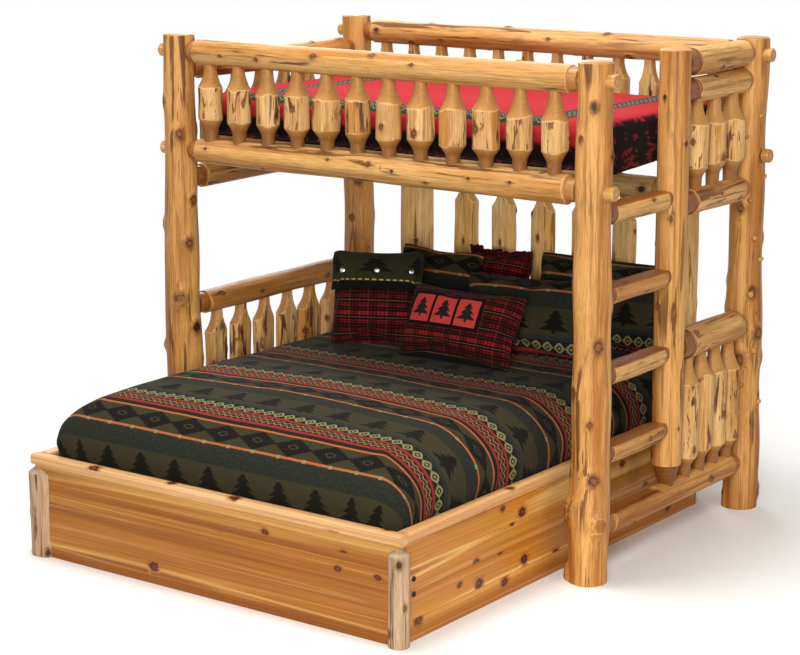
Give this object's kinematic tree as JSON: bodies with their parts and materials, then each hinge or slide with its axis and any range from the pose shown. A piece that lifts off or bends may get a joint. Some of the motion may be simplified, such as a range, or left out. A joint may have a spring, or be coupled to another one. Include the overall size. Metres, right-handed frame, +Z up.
{
  "type": "log loft bed",
  "caption": "Rustic loft bed of peeled cedar logs: a guarded twin bunk with a ladder, over a free-standing platform bed with slab headboard, mattresses and pillows.",
  "frame": {"origin": "middle of the whole bed's base, on the floor", "axes": "+Z up, +X to the right along the upper bunk as seen from the foot of the lower bed, +Y from the foot of the lower bed to its headboard"},
  "size_m": [2.2202, 2.3226, 1.98],
  "materials": {
    "cedar_log": "peeled log under clear satin varnish",
    "split_cedar": "split log face under clear satin varnish",
    "deck_wood": "bare sanded plywood and softwood",
    "cedar_board": "edge-glued boards under clear satin varnish",
    "peeled_white": "weathered white sapwood",
    "pale_log": "peeled pale log under clear satin varnish",
    "red_blanket": "woven wool-like blanket",
    "olive_spread": "woven striped bedspread",
    "olive_sham": "woven pillow sham",
    "dark_plaid": "woven plaid"
  },
  "bodies": {
    "loft": {"front_left_post": "cedar_log", "front_right_post": "cedar_log", "back_left_post": "cedar_log", "back_right_post": "cedar_log", "ladder_post": "cedar_log", "front_top_rail": "cedar_log", "front_lower_rail": "cedar_log", "back_top_rail": "cedar_log", "back_lower_rail_and_spindles": "cedar_log", "left_top_rail": "cedar_log", "left_lower_rail_and_spindles": "cedar_log", "left_guard_rail": "cedar_log", "left_floor_rail_and_spindles": "cedar_log", "right_top_rail": "cedar_log", "right_second_rail": "cedar_log", "right_lower_rail_and_spindles": "cedar_log", "right_guard_rail": "cedar_log", "right_floor_rail_and_spindles": "cedar_log", "ladder_rung_1": "cedar_log", "ladder_rung_2": "cedar_log", "ladder_rung_3": "cedar_log", "ladder_rung_4": "cedar_log", "front_spindle_1": "split_cedar", "front_spindle_2": "split_cedar", "front_spindle_3": "split_cedar", "front_spindle_4": "split_cedar", "front_spindle_5": "split_cedar", "front_spindle_6": "split_cedar", "front_spindle_7": "split_cedar", "front_spindle_8": "split_cedar", "front_spindle_9": "split_cedar", "front_spindle_10": "split_cedar", "front_spindle_11": "split_cedar", "front_spindle_12": "split_cedar", "front_ledger": "deck_wood", "back_ledger": "deck_wood", "upper_deck": "deck_wood"},
    "upper_mattress": {"upper_mattress": "red_blanket"},
    "lower_bed": {"foot_panel": "cedar_board", "head_panel": "cedar_board", "left_panel": "cedar_board", "right_panel": "cedar_board", "foot_cap": "cedar_board", "left_cap": "cedar_board", "right_cap": "cedar_board", "foot_left_corner_post": "peeled_white", "foot_right_corner_post": "peeled_white", "headboard_left_post": "pale_log", "headboard_right_post": "pale_log", "headboard_top_rail": "pale_log", "headboard_low_rail_and_slabs": "pale_log", "lower_deck": "deck_wood"},
    "lower_bedding": {"lower_mattress": "olive_spread", "pillow_back_left": "olive_sham", "pillow_back_right": "olive_sham", "pillow_large_right": "olive_sham", "pillow_back_middle": "dark_plaid", "pillow_buttoned": "dark_plaid", "pillow_lumbar": "dark_plaid"}
  },
  "joints": [
    {"name": "lower_bed_slide", "type": "slide", "parent": "loft", "child": "lower_bed", "axis": [0, -1, 0], "range_m": [0, 1]},
    {"name": "upper_mattress_lift", "type": "slide", "parent": "loft", "child": "upper_mattress", "axis": [0, 0, 1], "range_m": [0, 0.5]},
    {"name": "lower_bedding_lift", "type": "slide", "parent": "lower_bed", "child": "lower_bedding", "axis": [0, 0, 1], "range_m": [0, 0.25]}
  ]
}
